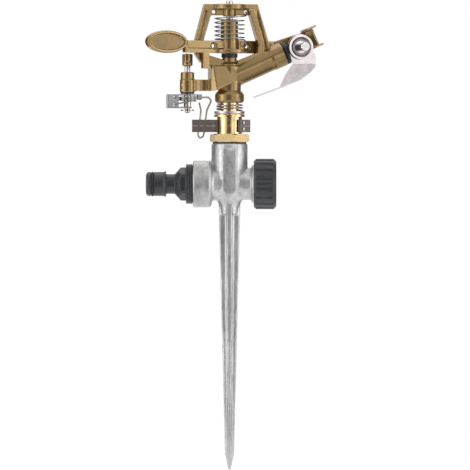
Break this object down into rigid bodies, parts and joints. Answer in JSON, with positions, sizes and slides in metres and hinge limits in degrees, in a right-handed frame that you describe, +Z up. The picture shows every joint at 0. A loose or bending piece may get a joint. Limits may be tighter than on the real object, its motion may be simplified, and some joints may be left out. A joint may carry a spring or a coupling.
{
  "type": "garden sprinkler",
  "caption": "Impact garden sprinkler on a ground spike: part-circle head with swinging arm, trip mechanism and deflector, hose connector on one side and end cap on the other.",
  "frame": {"origin": "on the riser's axis at the ground line, where the spike's shoulder meets the soil", "axes": "+Z up along the riser and the spike, -X towards the hose connector, -Y towards the viewer of the picture"},
  "size_m": [0.1218, 0.0564, 0.3196],
  "materials": {
    "zinc_casting": "rough as-cast zinc, dull grey with bright high spots",
    "bronze_paint": "metallic bronze paint on a casting, satin",
    "brass": "turned brass, bright",
    "steel": "bright steel",
    "spring_steel_dark": "dark oiled spring steel",
    "spring_steel_bright": "stainless spring wire",
    "polished_steel": "polished stainless sheet",
    "black_plastic": "black moulded plastic, satin",
    "dark_plastic": "dark bearing plastic, matt",
    "black_rubber": "black rubber, matt"
  },
  "bodies": {
    "stand": {"spike_tee": "zinc_casting", "hose_connector": "black_plastic", "connector_o_ring": "black_rubber", "connector_gasket": "black_rubber", "bearing_nipple": "brass", "nipple_gasket": "black_rubber"},
    "cap_carrier": {"cap_gasket": "black_rubber"},
    "cap": {"end_cap": "black_plastic"},
    "collar_upper": {"friction_collar_upper": "spring_steel_dark"},
    "collar_lower": {"friction_collar_lower": "spring_steel_dark"},
    "head": {"bearing_tube": "brass", "bearing_washers": "dark_plastic", "bearing_top_washer": "steel", "bearing_spring": "spring_steel_bright", "head_body": "bronze_paint", "nozzle": "dark_plastic", "fulcrum_pin": "steel", "pivot_washer": "dark_plastic", "arm_spring": "spring_steel_bright", "trip_washer": "dark_plastic", "deflector_washer": "polished_steel", "deflector_screw": "steel"},
    "arm": {"impact_arm": "bronze_paint", "arm_bushings": "dark_plastic"},
    "trip": {"trip_hammer": "bronze_paint", "trip_pin": "steel", "trip_bracket": "polished_steel", "trip_bushing": "dark_plastic", "trip_spring": "spring_steel_bright", "trip_clip": "steel"},
    "trigger": {"trip_wire": "spring_steel_dark"},
    "deflector_sheet": {"deflector": "polished_steel"}
  },
  "joints": [
    {"name": "cap_travel", "type": "slide", "parent": "stand", "child": "cap_carrier", "axis": [1, 0, 0], "range_m": [0, 0.01098]},
    {"name": "cap_turn", "type": "hinge", "parent": "cap_carrier", "child": "cap", "pos_m": [0.024, 0, 0.0408], "axis": [1, 0, 0], "range_deg": [0, 2160]},
    {"name": "collar_upper_turn", "type": "hinge", "parent": "stand", "child": "collar_upper", "pos_m": [0, 0, 0.0827], "axis": [0, 0, 1], "range_deg": [0, 300]},
    {"name": "collar_lower_turn", "type": "hinge", "parent": "stand", "child": "collar_lower", "pos_m": [0, 0, 0.078], "axis": [0, 0, 1], "range_deg": [0, 300]},
    {"name": "head_turn", "type": "hinge", "parent": "stand", "child": "head", "pos_m": [0, 0, 0.0922], "axis": [0, 0, 1], "range_deg": [-330, 0]},
    {"name": "arm_swing", "type": "hinge", "parent": "head", "child": "arm", "pos_m": [0, 0, 0.141], "axis": [0, 0, 1], "range_deg": [0, 120], "stiffness_Nm_per_rad": 0.01, "springref_deg": -45.84, "deforming": ["arm_spring"]},
    {"name": "trip_swing", "type": "hinge", "parent": "head", "child": "trip", "pos_m": [-0.02856, -0.00607, 0.105], "axis": [0, 0, 1], "range_deg": [0, 46], "stiffness_Nm_per_rad": 0.004, "springref_deg": -34.38},
    {"name": "trip_wire_flip", "type": "hinge", "parent": "trip", "child": "trigger", "pos_m": [-0.01761, -0.00374, 0.0996], "axis": [0.9781, 0.2079, 0], "range_deg": [0, 110]},
    {"name": "deflector_tilt", "type": "hinge", "parent": "head", "child": "deflector_sheet", "pos_m": [0.04817, -0.00121, 0.13387], "axis": [0.2079, -0.9781, 0], "range_deg": [0, 165]}
  ],
  "couplings": [
    {"joint": "cap_travel", "follows": "cap_turn", "m_per_rad": 0.0002887}
  ]
}
